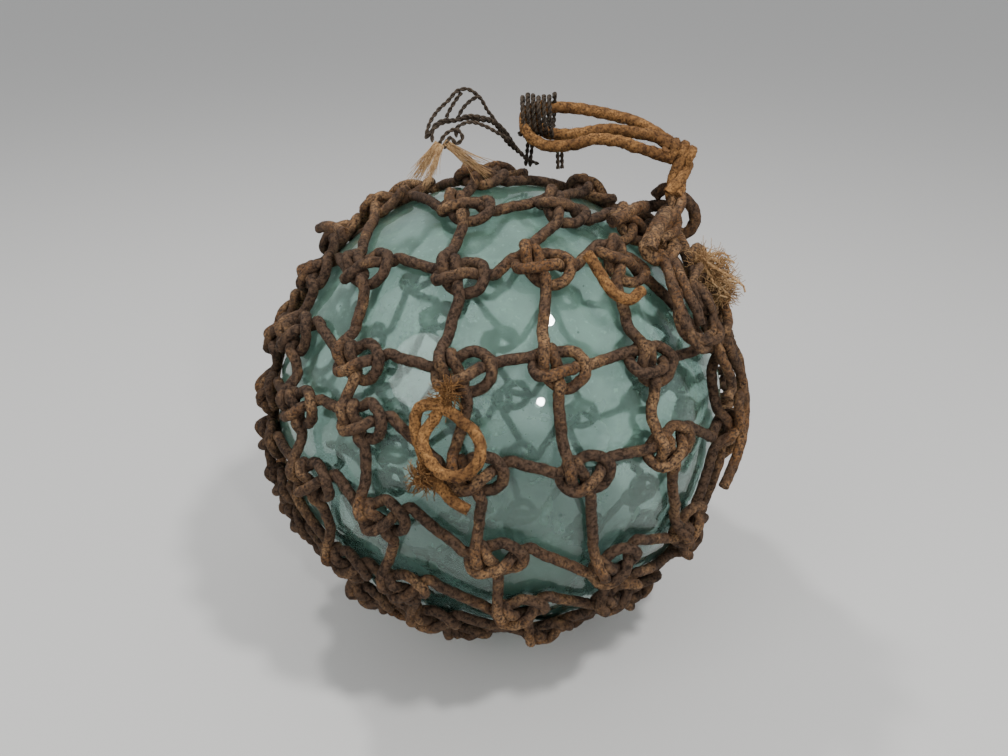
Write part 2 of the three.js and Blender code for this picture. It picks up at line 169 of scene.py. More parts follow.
# The knotted cluster under the becket's neck, and the ropes gathered down the right side
CLUSTER = {
    "loop": [
        (125, 20, 153), (121, 22, 147), (108, -20, 153), (97, -51, 151), (92, -64, 146),
        (97, -66, 141), (107, -59, 139), (113, -46, 140), (114, -28, 141),
    ],
    "bulge": [
        (111, 26, 154), (116, 24, 160), (124, 21, 158), (131, 18, 154), (137, 15, 147), (138, 14, 138),
        (133, 15, 130), (127, 18, 130),
    ],
    "across": [
        (73, -38, 156), (81, -29, 156), (93, -7, 155), (107, 24, 147), (116, 23, 148), (123, 21, 144),
    ],
    "inner": [
        (114, -12, 154), (103, -46, 157), (96, -64, 152), (94, -69, 148),
    ],
    "down": [
        (122, -11, 137), (124, -29, 133), (126, -41, 128), (127, -50, 122),
    ],
}
GATHERED = {
    "first": [
        (102, -61, 143), (104, -69, 139), (106, -80, 133), (109, -90, 124), (112, -98, 113),
        (117, -99, 105), (127, -93, 98), (135, -81, 96),
    ],
    "second": [
        (110, -66, 139), (113, -78, 133), (117, -85, 124), (122, -89, 116), (125, -91, 107),
    ],
    "third": [
        (122, -63, 124), (128, -65, 121), (133, -67, 115), (136, -72, 107), (136, -78, 100),
        (135, -83, 94),
    ],
    "strand": [
        (137, -76, 96), (140, -80, 88), (144, -83, 78), (150, -81, 67), (153, -80, 57), (150, -85, 51),
    ],
    "outer": [
        (150, -41, 102), (153, -50, 93), (149, -67, 89), (155, -65, 78), (162, -59, 65),
        (163, -65, 54), (160, -78, 42), (163, -81, 24),
    ],
    "hump": [
        (128, -45, 118), (133, -50, 122), (141, -44, 116), (142, -49, 110),
    ],
    "tan": [
        (132, -35, 120), (128, -38, 130), (131, -30, 135), (137, -22, 130), (140, -20, 122),
    ],
}
# Short lengths of the same twine, caught in its frayed end
TWINE_STRANDS = {
    "a": [
        (-35, 6, 213), (-33, 8, 217), (-29, 10, 223), (-25, 11, 228),
    ],
    "b": [
        (-28, 2, 212), (-24, 4, 219), (-18, 8, 224), (-13, 10, 226),
    ],
    "c": [
        (-44, -8, 200), (-43, -6, 209), (-37, -4, 213), (-28, -2, 213), (-21, 1, 215), (-13, 3, 214),
        (-4, 5, 211), (4, 9, 203), (10, 14, 193), (18, 22, 182), (27, 30, 176),
    ],
    "d": [
        (-28, -7, 203), (-28, -5, 208), (-23, -3, 211), (-17, 0, 211), (-9, 2, 208), (-1, 5, 203),
        (7, 8, 198),
    ],
    "e": [
        (-40, -9, 198), (-35, -7, 205), (-28, -7, 208), (-24, -8, 203), (-28, -8, 199), (-32, -8, 203),
        (-36, -9, 196),
    ],
}
CROOK_POINT = 130  # where the front tie's second frayed head sits, along its path

SEED = 11


# ---- vectors and lines ---------------------------------------------------------------------

def unit(vector):
    vector = np.asarray(vector, float)
    return vector / np.linalg.norm(vector)


def from_middle(points):
    """Points in millimetres from the middle of the glass, in the row frame in metres."""
    return CENTRE + MM * np.asarray(points, float)


NET_AXIS = unit((0.95, -0.19, 0.247))
UP = np.array((0.0, 0.0, 1.0))
NET_TOP = unit(UP - NET_AXIS * UP.dot(NET_AXIS))
NET_FRONT = np.cross(NET_AXIS, NET_TOP)


class GlassFrame:
    """Stands on the glass: x towards the right pole, y up the front, z outwards."""

    def __init__(self, angle, turn):
        angle, turn = math.radians(angle), math.radians(turn)
        around = math.cos(turn) * NET_TOP + math.sin(turn) * NET_FRONT
        self.z = math.cos(angle) * NET_AXIS + math.sin(angle) * around
        self.x = unit(NET_AXIS - self.z * NET_AXIS.dot(self.z))
        self.y = np.cross(self.z, self.x)

    def point(self, x, y, height):
        """A point over the glass, from the middle of the glass."""
        way = unit(self.z * GLASS_RADIUS + self.x * x + self.y * y)
        return way * (GLASS_RADIUS + height)


def row_turn(ring, row):
    _, lead, gather = RINGS[ring]
    even = FIRST_ROW + ROW_STEP * row
    start = math.radians(even - GATHER_CENTRE)
    gathered = gather * (math.sin(start) + GATHER_PEAK * math.sin(2 * start))
    return even + lead + math.degrees(gathered)


def knot_frame(ring, row):
    row %= KNOTS_PER_RING
    stray = 7.3 * row + 4.1 * ring
    across, down = SLIPPED.get((ring, row), (UNEVEN * math.sin(stray), UNEVEN * math.cos(stray)))
    per_degree = math.radians(GLASS_RADIUS) / MM
    angle = RINGS[ring][0]
    turn = row_turn(ring, row) + down / (per_degree * math.sin(math.radians(angle)))
    return GlassFrame(angle + across / per_degree, turn)


def smooth_line(points, step, closed=False):
    """A smooth line through the points, with a point every step along it."""
    p = np.asarray(points, float)
    if closed:
        p = np.vstack([p[-1:], p, p[:2]])
    else:
        p = np.vstack([2 * p[0] - p[1], p, 2 * p[-1] - p[-2]])
    gaps = np.sqrt(np.linalg.norm(np.diff(p, axis=0), axis=1))
    t = np.concatenate([[0], np.cumsum(gaps)])
    share = np.linspace(0, 1, 10, endpoint=False)[:, None]
    fine = []
    for i in range(1, len(p) - 2):
        t0, t1, t2, t3 = t[i - 1:i + 3]
        s = t1 + (t2 - t1) * share
        a = (t1 - s) / (t1 - t0) * p[i - 1] + (s - t0) / (t1 - t0) * p[i]
        b = (t2 - s) / (t2 - t1) * p[i] + (s - t1) / (t2 - t1) * p[i + 1]
        c = (t3 - s) / (t3 - t2) * p[i + 1] + (s - t2) / (t3 - t2) * p[i + 2]
        ab = (t2 - s) / (t2 - t0) * a + (s - t0) / (t2 - t0) * b
        bc = (t3 - s) / (t3 - t1) * b + (s - t1) / (t3 - t1) * c
        fine.append((t2 - s) / (t2 - t1) * ab + (s - t1) / (t2 - t1) * bc)
    fine = np.vstack([*fine, p[-2:-1]])
    gone = np.concatenate([[0], np.cumsum(np.linalg.norm(np.diff(fine, axis=0), axis=1))])
    count = max(3, round(gone[-1] / step))
    at = np.linspace(0, gone[-1], count + 1)[:count if closed else None]
    return np.column_stack([np.interp(at, gone, fine[:, k]) for k in range(3)])


def side_frames(line):
    """Two directions square to the line at each point, carried along it without twisting."""
    ways = np.gradient(line, axis=0)
    ways /= np.linalg.norm(ways, axis=1)[:, None]
    side = unit(np.cross(ways[0], UP if abs(ways[0][2]) < 0.9 else NET_AXIS))
    sides = []
    for way in ways:
        side = unit(side - way * side.dot(way))
        sides.append(side)
    sides = np.array(sides)
    return sides, np.cross(ways, sides)


def plies(line, count, offset, pitch, start=0.0):
    """The lines of strands twisted together about a line."""
    sides, others = side_frames(line)
    gone = np.concatenate([[0], np.cumsum(np.linalg.norm(np.diff(line, axis=0), axis=1))])
    strands = []
    for k in range(count):
        turn = TAU * (gone / pitch + k / count) + start
        strands.append(line + offset * (np.cos(turn)[:, None] * sides + np.sin(turn)[:, None] * others))
    return strands


def brush(start, end, spread, count, seed, curl=0.25, root=0.6 * MM):
    """Lines of loose fibres that fan out from one point towards another."""
    rng = np.random.default_rng(seed)
    start, end = np.asarray(start, float), np.asarray(end, float)
    length = np.linalg.norm(end - start)
    sides, others = side_frames(np.array([start, (start + end) / 2, end]))
    side, other, way = sides[0], others[0], unit(end - start)
    lines = []
    for _ in range(count):
        a, b = rng.normal(0, 0.5, 2)
        reach = length * rng.uniform(0.55, 1.1)
        bow, sway = rng.normal(0, curl, 2)
        share = np.linspace(0, 1, 7)[:, None]
        fan = side * a + other * b
        arc = np.sin(share * math.pi * rng.uniform(0.6, 1.6)) * reach
        line = start + fan * (root + (spread - root) * share ** 1.3) + way * reach * share
        lines.append(line + arc * (side * bow + other * sway) * share)
    return lines


def matted(start, end, radius, count, seed):
    """Lines of short curly fibres, matted into a tuft round the line from start to end."""
    rng = np.random.default_rng(seed)
    start, end = np.asarray(start, float), np.asarray(end, float)
    lines = []
    for _ in range(count):
        out = unit(rng.normal(0, 1, 3))
        share = rng.uniform(0.12, 0.95)
        fat = radius * math.sin(math.pi * min(0.96, share * 0.8 + 0.15))
        point = start + (end - start) * share + out * fat * rng.uniform(0.35, 0.95)
        way = unit(out + rng.normal(0, 0.9, 3))
        bend = rng.normal(0, 0.75, 3)
        line = [point]
        for _ in range(7):
            way = unit(way + bend * 0.55 + rng.normal(0, 0.25, 3))
            line.append(line[-1] + way * 1.5 * MM)
        lines.append(np.array(line))
    return lines


# ---- node building -------------------------------------------------------------------------

class Value:
    """A socket that carries a value; arithmetic on it adds Math nodes."""

    def __init__(self, graph, socket):
        self.graph, self.socket = graph, socket

    def math(self, operation, *values):
        return self.graph.node("ShaderNodeMath", {"operation": operation}, dict(enumerate(values)))

    def __add__(self, other):
        return self.math("ADD", self, other)

    def __sub__(self, other):
        return self.math("SUBTRACT", self, other)

    def __rsub__(self, other):
        return self.math("SUBTRACT", other, self)

    def __mul__(self, other):
        return self.math("MULTIPLY", self, other)

    def __truediv__(self, other):
        return self.math("DIVIDE", self, other)

    def __rtruediv__(self, other):
        return self.math("DIVIDE", other, self)

    def __pow__(self, other):
        return self.math("POWER", self, other)

    __radd__ = __add__
    __rmul__ = __mul__

    def sine(self):
        return self.math("SINE", self)

    def size(self):
        return self.math("ABSOLUTE", self)

    def ease(self, low, high):
        """0 below low, 1 above high, and smooth between them."""
        return self.graph.node("ShaderNodeMapRange", {"interpolation_type": "SMOOTHSTEP"},
                               {"Value": self, "From Min": low, "From Max": high})

    def of(self, name):
        """Another output of the same node."""
        return Value(self.graph, self.socket.node.outputs[name])


class Graph:
    """Adds nodes to a material's tree or to a Geometry Nodes tree."""

    def __init__(self, tree):
        self.tree = tree

    def node(self, kind, settings=None, inputs=None, output=0):
        made = self.tree.nodes.new(kind)
        for name, setting in (settings or {}).items():
            setattr(made, name, setting)
        for key, value in (inputs or {}).items():
            if isinstance(value, Value):
                self.tree.links.new(value.socket, made.inputs[key])
            else:
                made.inputs[key].default_value = value
        return Value(self, made.outputs[output]) if len(made.outputs) else None

    def blend(self, factor, first, second):
        return self.node("ShaderNodeMix", {"data_type": "RGBA"}, {0: factor, 6: first, 7: second},
                         output=2)

    def noise(self, vector, size, detail=3.0, roughness=0.55):
        """Noise whose lumps are about size across, in metres."""
        return self.node("ShaderNodeTexNoise", None, {
            "Vector": vector, "Scale": 1 / size, "Detail": detail, "Roughness": roughness})

    def attribute(self, name):
        return self.node("ShaderNodeAttribute", {"attribute_name": name}, output="Fac")


def new_material(name):
    material = bpy.data.materials.new(name)
    material.use_nodes = True
    material.node_tree.nodes.clear()
    return material, Graph(material.node_tree)


def colour(values):
    return (*values, 1.0)


def rope_material(name, shadow, body, worn, wear=0.5, grain=2.6 * MM, tips=None):
    """Old twisted fibre: speckled by its fuzz, with painted shade in its grooves, and worn on what
    stands out.
    """
    material, graph = new_material(name)
    where = graph.node("ShaderNodeTexCoord", output="Object")
    away = graph.node("ShaderNodeVectorMath", {"operation": "DISTANCE"},
                      {0: where, 1: tuple(CENTRE)}, output="Value") - GLASS_RADIUS
    lay = graph.attribute("lay")
    fuzz = graph.attribute("fuzz")
    speckle = graph.noise(where, grain, 3.0, 0.7)
    flecks = graph.noise(where, 0.6 * grain, 2.0, 0.6)
    patches = graph.noise(where, 15 * MM, 3.0)
    stains = graph.noise(where, 48 * MM, 2.0)
    base = graph.blend(speckle.ease(0.34, 0.6), colour(shadow), colour(body))
    rubbed = (away.ease(1.0 * ROPE, 2.4 * ROPE) * 0.35 + patches.ease(0.4, 0.66) * 0.6
              + stains.ease(0.42, 0.64) * 0.55 - 0.3)
    rubbed = rubbed.ease(0.0, 1.0) * flecks.ease(0.36, 0.64) * wear
    worn_shade = graph.blend(patches.ease(0.35, 0.65), colour(worn), colour(tips or worn))
    mixed = graph.blend(rubbed, base, worn_shade)
    # Painted shade in the grooves between the strands, where lay is low.
    mixed = graph.blend((1 - lay) * 0.6, mixed, colour(shadow))
    mixed = graph.blend(fuzz * 0.5, mixed, colour(tips or worn))
    bump = graph.node("ShaderNodeBump", None, {
        "Strength": 0.9, "Distance": 0.9 * MM, "Height": speckle * 0.6 + flecks * 0.4})
    surface = graph.node("ShaderNodeBsdfPrincipled", None, {
        "Base Color": mixed, "Roughness": 0.9, "Normal": bump, "Specular IOR Level": 0.25})
    graph.node("ShaderNodeOutputMaterial", None, {"Surface": surface})
    return material


def glass_material(name, tint, depth, haze, pale, deep):
    """Old sea glass: clear, aqua in its thickness, with a thin milky bloom on the inside, and painted
    shade that darkens the bloom towards the bottom.
    """
    material, graph = new_material(name)
    where = graph.node("ShaderNodeTexCoord", output="Object")
    away = graph.node("ShaderNodeVectorMath", {"operation": "DISTANCE"},
                      {0: where, 1: tuple(CENTRE)}, output="Value")
    height = graph.node("ShaderNodeSeparateXYZ", None, {0: where}, output="Z") - float(CENTRE[2])
    inside = 1 - away.ease(GLASS_RADIUS - 4 * MM, GLASS_RADIUS - 1 * MM)
    cloud = graph.noise(where, 90 * MM, 4.0, 0.6)
    streak = graph.noise(where, 22 * MM, 5.0, 0.7)
    specks = graph.noise(where, 4 * MM, 2.0, 0.6)
    # Painted shade: the bloom's colour goes from pale to the dark deep colour towards the bottom of the
    # glass.
    painted_shade_below = 1 - (height + cloud * 0.12).ease(-0.04, 0.12)
    bloom = (cloud.ease(0.38, 0.68) * 0.5 + streak.ease(0.5, 0.75) * 0.35 + specks.ease(0.6, 0.75) * 0.3
             + 0.5)
    bloom = inside * bloom * haze
    ripple = graph.noise(where, 45 * MM, 2.0)
    bump = graph.node("ShaderNodeBump", None, {"Strength": 0.1, "Distance": 2 * MM, "Height": ripple})
    clear = graph.node("ShaderNodeBsdfPrincipled", None, {
        "Base Color": colour((0.86, 0.97, 0.94)), "Roughness": 0.03, "IOR": 1.5,
        "Transmission Weight": 1.0, "Normal": bump})
    milky = graph.node("ShaderNodeBsdfPrincipled", None, {
        "Base Color": graph.blend(painted_shade_below, colour(pale), colour(deep)), "Roughness": 0.6})
    surface = graph.node("ShaderNodeMixShader", None, {0: bloom, 1: clear, 2: milky})
    volume = graph.node("ShaderNodeVolumeAbsorption", None, {"Color": colour(tint), "Density": depth})
    graph.node("ShaderNodeOutputMaterial", None, {"Surface": surface, "Volume": volume})
    return material


# ---- rope by Geometry Nodes ----------------------------------------------------------------

ROPE_INPUTS = [  # name, socket type, default
    ("Diameter", "NodeSocketFloat", ROPE),
    ("Sides", "NodeSocketInt", 14),
    ("Lay Length", "NodeSocketFloat", 30 * MM),
    ("Strand Depth", "NodeSocketFloat", 0.1),
    ("Strands", "NodeSocketInt", 3),
    ("Unevenness", "NodeSocketFloat", 0.2),
    ("Taper", "NodeSocketFloat", 0.0),
    ("Fuzz Density", "NodeSocketFloat", 0.0),
    ("Fuzz Length", "NodeSocketFloat", 2.2 * MM),
    ("Fuzz Thickness", "NodeSocketFloat", 0.11 * MM),
    ("Seed", "NodeSocketInt", SEED),
    ("Material", "NodeSocketMaterial", None),
]


def rope_tree():
    """Sweeps laid rope along lines, and stands loose fibres on it."""
    tree = bpy.data.node_groups.new("Laid Rope", "GeometryNodeTree")
    tree.interface.new_socket("Geometry", in_out="INPUT", socket_type="NodeSocketGeometry")
    for name, kind, default in ROPE_INPUTS:
        socket = tree.interface.new_socket(name, in_out="INPUT", socket_type=kind)
        if default is not None:
            socket.default_value = default
    tree.interface.new_socket("Geometry", in_out="OUTPUT", socket_type="NodeSocketGeometry")
    graph = Graph(tree)
    given = graph.node("NodeGroupInput")
    radius = given.of("Diameter") * 0.5

    def store(geometry, name, value):
        return graph.node("GeometryNodeStoreNamedAttribute", {"data_type": "FLOAT", "domain": "POINT"},
                          {"Geometry": geometry, "Name": name, "Value": value})

    def stored(name):
        return graph.node("GeometryNodeInputNamedAttribute", {"data_type": "FLOAT"}, {"Name": name})

    line = graph.node("GeometryNodeMeshToCurve", None, {"Mesh": given})
    place = graph.node("GeometryNodeSplineParameter")
    line = store(line, "along", place.of("Length"))
    thin = 1 - given.of("Taper") * place.of("Factor")
    line = graph.node("GeometryNodeSetCurveRadius", None, {"Curve": line, "Radius": thin})
    section = graph.node("GeometryNodeCurvePrimitiveCircle", {"mode": "RADIUS"}, {
        "Resolution": given.of("Sides"), "Radius": radius})
    section = store(section, "around", graph.node("GeometryNodeSplineParameter", output="Factor"))
    skin = graph.node("GeometryNodeCurveToMesh", None, {
        "Curve": line, "Profile Curve": section, "Scale": thin, "Fill Caps": True})
    strands = given.of("Strands")
    phase = stored("around") + stored("along") / given.of("Lay Length")
    lobe = (phase * strands * math.pi).sine().size()
    skin = store(skin, "lay", lobe.ease(0.0, 0.75))
    spot = graph.node("GeometryNodeInputPosition")
    lumps = graph.noise(spot, 5 * MM, 2.0) - 0.5
    knobs = graph.noise(spot, 1.6 * MM, 2.0) - 0.5
    out = radius * (given.of("Strand Depth") * (lobe - 0.7)
                    + given.of("Unevenness") * (lumps + knobs * 0.6))
    normal = graph.node("GeometryNodeInputNormal")
    offset = graph.node("ShaderNodeVectorMath", {"operation": "SCALE"}, {0: normal, "Scale": out})
    skin = graph.node("GeometryNodeSetPosition", None, {"Geometry": skin, "Offset": offset})
    skin = graph.node("GeometryNodeSetShadeSmooth", None, {"Geometry": skin, "Shade Smooth": True})
    seed = given.of("Seed")
    roots = graph.node("GeometryNodeDistributePointsOnFaces", {"distribute_method": "RANDOM"}, {
        "Mesh": skin, "Density": given.of("Fuzz Density"), "Seed": seed})
    fibre = graph.node("GeometryNodeMeshCone", {"fill_type": "NGON"}, {
        "Vertices": 3, "Side Segments": 1, "Radius Top": 0.0, "Radius Bottom": 1.0, "Depth": 1.0})
    lean = graph.node("FunctionNodeRandomValue", {"data_type": "FLOAT_VECTOR"}, {
        0: (-1.2, -1.2, -3.0), 1: (1.2, 1.2, 3.0), "Seed": seed})
    rotation = graph.node("FunctionNodeRotateRotation", {"rotation_space": "LOCAL"}, {
        0: roots.of("Rotation"), 1: lean})
    reach = graph.node("FunctionNodeRandomValue", {"data_type": "FLOAT"}, {
        2: 0.4, 3: 1.0, "Seed": seed}, output=1) * given.of("Fuzz Length")
    thick = given.of("Fuzz Thickness")
    scale = graph.node("ShaderNodeCombineXYZ", None, {0: thick, 1: thick, 2: reach})
    fibres = graph.node("GeometryNodeInstanceOnPoints", None, {
        "Points": roots, "Instance": fibre, "Rotation": rotation, "Scale": scale})
    fibres = graph.node("GeometryNodeRealizeInstances", None, {0: fibres})
    fibres = store(fibres, "fuzz", 1.0)
    joined = graph.node("GeometryNodeJoinGeometry")
    for part in (fibres, skin):
        tree.links.new(part.socket, joined.socket.node.inputs[0])
    whole = graph.node("GeometryNodeRealizeInstances", None, {0: joined})
    whole = graph.node("GeometryNodeSetMaterial", None, {
        "Geometry": whole, "Material": given.of("Material")})
    graph.node("NodeGroupOutput", None, {0: whole})
    return tree


def bubble_tree():
    """Scatters small hollow spheres in the thickness of the glass."""
    tree = bpy.data.node_groups.new("Bubbles", "GeometryNodeTree")
    tree.interface.new_socket("Geometry", in_out="INPUT", socket_type="NodeSocketGeometry")
    for name, kind, default in [
        ("Density", "NodeSocketFloat", 900.0), ("Smallest", "NodeSocketFloat", 0.25 * MM),
        ("Largest", "NodeSocketFloat", 1.1 * MM), ("Seed", "NodeSocketInt", SEED),
        ("Material", "NodeSocketMaterial", None),
    ]:
        socket = tree.interface.new_socket(name, in_out="INPUT", socket_type=kind)
        if default is not None:
            socket.default_value = default
    tree.interface.new_socket("Geometry", in_out="OUTPUT", socket_type="NodeSocketGeometry")
    graph = Graph(tree)
    given = graph.node("NodeGroupInput")
    seed = given.of("Seed")
    spots = graph.node("GeometryNodeDistributePointsOnFaces", {"distribute_method": "RANDOM"}, {
        "Mesh": given, "Density": given.of("Density"), "Seed": seed})
    ball = graph.node("GeometryNodeMeshIcoSphere", None, {"Radius": 1.0, "Subdivisions": 2})
    ball = graph.node("GeometryNodeFlipFaces", None, {0: ball})
    share = graph.node("FunctionNodeRandomValue", {"data_type": "FLOAT"}, {
        2: 0.0, 3: 1.0, "Seed": seed}, output=1) ** 4.0
    size = given.of("Smallest") + share * (given.of("Largest") - given.of("Smallest"))
    bubbles = graph.node("GeometryNodeInstanceOnPoints", None, {
        "Points": spots, "Instance": ball, "Scale": size})
    bubbles = graph.node("GeometryNodeRealizeInstances", None, {0: bubbles})
    bubbles = graph.node("GeometryNodeSetShadeSmooth", None, {"Geometry": bubbles})
    bubbles = graph.node("GeometryNodeSetMaterial", None, {
        "Geometry": bubbles, "Material": given.of("Material")})
    graph.node("NodeGroupOutput", None, {0: bubbles})
    return tree


MADE = {}


def once(name, make):
    """What make gives, made the first time that it is asked for."""
    if name not in MADE:
        MADE[name] = make()
    return MADE[name]


def evaluated_mesh(name, base_mesh, tree, inputs):
    """The plain mesh that a Geometry Nodes tree makes from a base mesh."""
    base = bpy.data.objects.new(name + "_base", base_mesh)
    bpy.context.scene.collection.objects.link(base)
    modifier = base.modifiers.new(tree.name, "NODES")
    modifier.node_group = tree
    for item in tree.interface.items_tree:
        if item.in_out == "INPUT" and item.name in inputs:
            modifier[item.identifier] = inputs[item.name]
    graph = bpy.context.evaluated_depsgraph_get()
    mesh = bpy.data.meshes.new_from_object(
        base.evaluated_get(graph), preserve_all_data_layers=True, depsgraph=graph)
    bpy.data.objects.remove(base)
    if not mesh.polygons:
        raise RuntimeError(f"{name} came out empty")
    mesh.name = name
    return mesh


def line_mesh(name, lines, closed):
    points, edges = [], []
    for line in lines:
        first = len(points)
        points.extend(map(tuple, line))
        last = len(points) - 1
        edges.extend((i, i + 1) for i in range(first, last))
        if closed:
            edges.append((last, first))
    mesh = bpy.data.meshes.new(name + "_line")
    mesh.from_pydata(points, edges, [])
    return mesh


CLEAR_OF_GLASS = 0.05 * MM


def rest_on_glass_and_floor(mesh):
    """Presses rope flat where it lies on the glass or on the floor."""
    places = np.empty(len(mesh.vertices) * 3, np.float32)
    mesh.vertices.foreach_get("co", places)
    places = places.reshape(-1, 3).astype(float)
    out = places - CENTRE
    away = np.linalg.norm(out, axis=1)
    least = GLASS_RADIUS + CLEAR_OF_GLASS
    inside = away < least
    places[inside] = CENTRE + out[inside] * (least / away[inside])[:, None]
    places[:, 2] = np.maximum(places[:, 2], 0.0)
    mesh.vertices.foreach_set("co", places.astype(np.float32).ravel())
    mesh.update()


def finished(name, mesh, slot, *nodes):
    """A finished piece at the origin, that stands for CAD nodes."""
    piece = bpy.data.objects.new(name, mesh)
    bpy.context.scene.collection.objects.link(piece)
    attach(piece, "root")
    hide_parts(*nodes)
    return piece


def rope_piece(name, lines, material, slot, nodes, closed=False, **inputs):
    tree = once("Laid Rope", rope_tree)
    named = {key.replace("_", " ").title(): value for key, value in inputs.items()}
    mesh = evaluated_mesh(name, line_mesh(name, lines, closed), tree, {**named, "Material": material})
    rest_on_glass_and_floor(mesh)
    return finished(name, mesh, slot, *nodes)


# ---- finishes ------------------------------------------------------------------------------

def net_finish():
    s = bpy.context.scene.float_net
    return once("old net rope", lambda: rope_material(
        "old net rope", s.shadow, s.body, s.worn, wear=s.wear, tips=s.tips))


def becket_finish():
    s = bpy.context.scene.float_becket
    return once("golden rope", lambda: rope_material(
        "golden rope", s.shadow, s.body, s.worn, wear=0.9, grain=2.4 * MM))


def twine_finish():
    s = bpy.context.scene.float_twine
    return once("tarred twine", lambda: rope_material(
        "tarred twine", s.shadow, s.body, s.worn, wear=0.5, grain=1.35 * MM))


def fray_finish():
    s = bpy.context.scene.float_twine
    return once("straw fibre", lambda: rope_material(
        "straw fibre", s.fray_shadow, s.fray_body, s.fray_worn, wear=1.0, grain=2.0 * MM))


# ---- settings ------------------------------------------------------------------------------

def shade(name, description, default):
    return bpy.props.FloatVectorProperty(
        name=name, description=description, default=default, min=0, max=1, size=3,
        subtype="COLOR")


def length(name, description, default):
    return bpy.props.FloatProperty(
        name=name, description=description, default=default, min=0, unit="LENGTH",
        subtype="DISTANCE", precision=5)


class FLOAT_PG_glass(bpy.types.PropertyGroup):
    wall: length("Wall", "Thickness of the blown glass", 5 * MM)
    tint: shade("Tint", "Colour of light that passes through the glass", (0.2, 0.62, 0.55))
    depth: bpy.props.FloatProperty(
        name="Depth of Colour", description="How strongly the glass takes up light, per metre",
        default=38.0, min=0)
    pale: shade("Bloom", "Colour of the bloom inside the upper part", (0.52, 0.68, 0.57))
    # The deep colour is painted shade: it darkens the milky bloom in the lower part of the glass.
    deep: shade("Bloom Painted Shade", "Colour of the bloom inside the lower part", (0.03, 0.105, 0.088))
    haze: bpy.props.FloatProperty(
        name="Haze", description="Share of the inside that is milky", default=0.56, min=0, max=1)
    bubbles: bpy.props.FloatProperty(
        name="Bubbles", description="Bubbles per square metre of glass", default=1500.0, min=0)


class FLOAT_PG_net(bpy.types.PropertyGroup):
    diameter: length("Diameter", "Thickness of the net's rope", ROPE)
    shadow: shade("Shadow", "Colour down between the fibres", (0.014, 0.008, 0.005))
    body: shade("Body", "Colour of most of the rope", (0.082, 0.048, 0.029))
    worn: shade("Worn", "Colour where the rope is rubbed", (0.25, 0.105, 0.028))
    tips: shade("Tips", "Colour of the most rubbed fibres", (0.28, 0.16, 0.075))
    wear: bpy.props.FloatProperty(
        name="Wear", description="How much of the rope is rubbed", default=0.9, min=0, max=1,
        subtype="FACTOR")
    fuzz: bpy.props.FloatProperty(
        name="Fuzz", description="Loose fibres per square metre of rope", default=62000.0, min=0)


class FLOAT_PG_becket(bpy.types.PropertyGroup):
    diameter: length("Diameter", "Thickness of the becket's rope", BECKET_ROPE)
    shadow: shade("Shadow", "Colour down between the fibres", (0.035, 0.014, 0.005))
    body: shade("Body", "Colour of most of the rope", (0.165, 0.078, 0.026))
    worn: shade("Worn", "Colour where the rope is rubbed", (0.37, 0.185, 0.062))


class FLOAT_PG_twine(bpy.types.PropertyGroup):
    diameter: length("Diameter", "Thickness of the tarred twine", TWINE)
    shadow: shade("Shadow", "Colour down between the plies", (0.012, 0.009, 0.007))
    body: shade("Body", "Colour of most of the twine", (0.055, 0.042, 0.03))
    worn: shade("Worn", "Colour where the twine is rubbed", (0.16, 0.11, 0.07))
    fray_shadow: shade("Fray Shadow", "Colour deep in a frayed end", (0.14, 0.07, 0.03))
    fray_body: shade("Fray Body", "Colour of frayed fibre", (0.42, 0.25, 0.11))
    fray_worn: shade("Fray Tips", "Colour of the fibres' tips", (0.62, 0.42, 0.22))


class FLOAT_PG_stage(bpy.types.PropertyGroup):
    floor: shade("Floor", "Colour of the floor", (0.62, 0.61, 0.59))
    sky: bpy.props.FloatProperty(
        name="Sky", description="Strength of the light from all round", default=0.62, min=0)


# ---- operators -----------------------------------------------------------------------------

CAMERA_FROM_MIDDLE = (3.08, -586.66, 332.86)  # millimetres
CAMERA_DOWN = 28  # degrees
FOCAL_PIXELS, IMAGE_WIDTH = 876, 1008
SENSOR = 36.0
LIGHTS = [  # name, place in metres from the middle of the glass, size, watts
    ("key", (0.58, -0.55, 1.44), 0.16, 16),
    ("front", (0.52, -1.37, 0.78), 0.1, 6),
    ("left", (-0.51, 0.37, 1.49), 0.14, 10),
    ("soft", (-1.6, -1.5, 1.6), 1.6, 16),
]


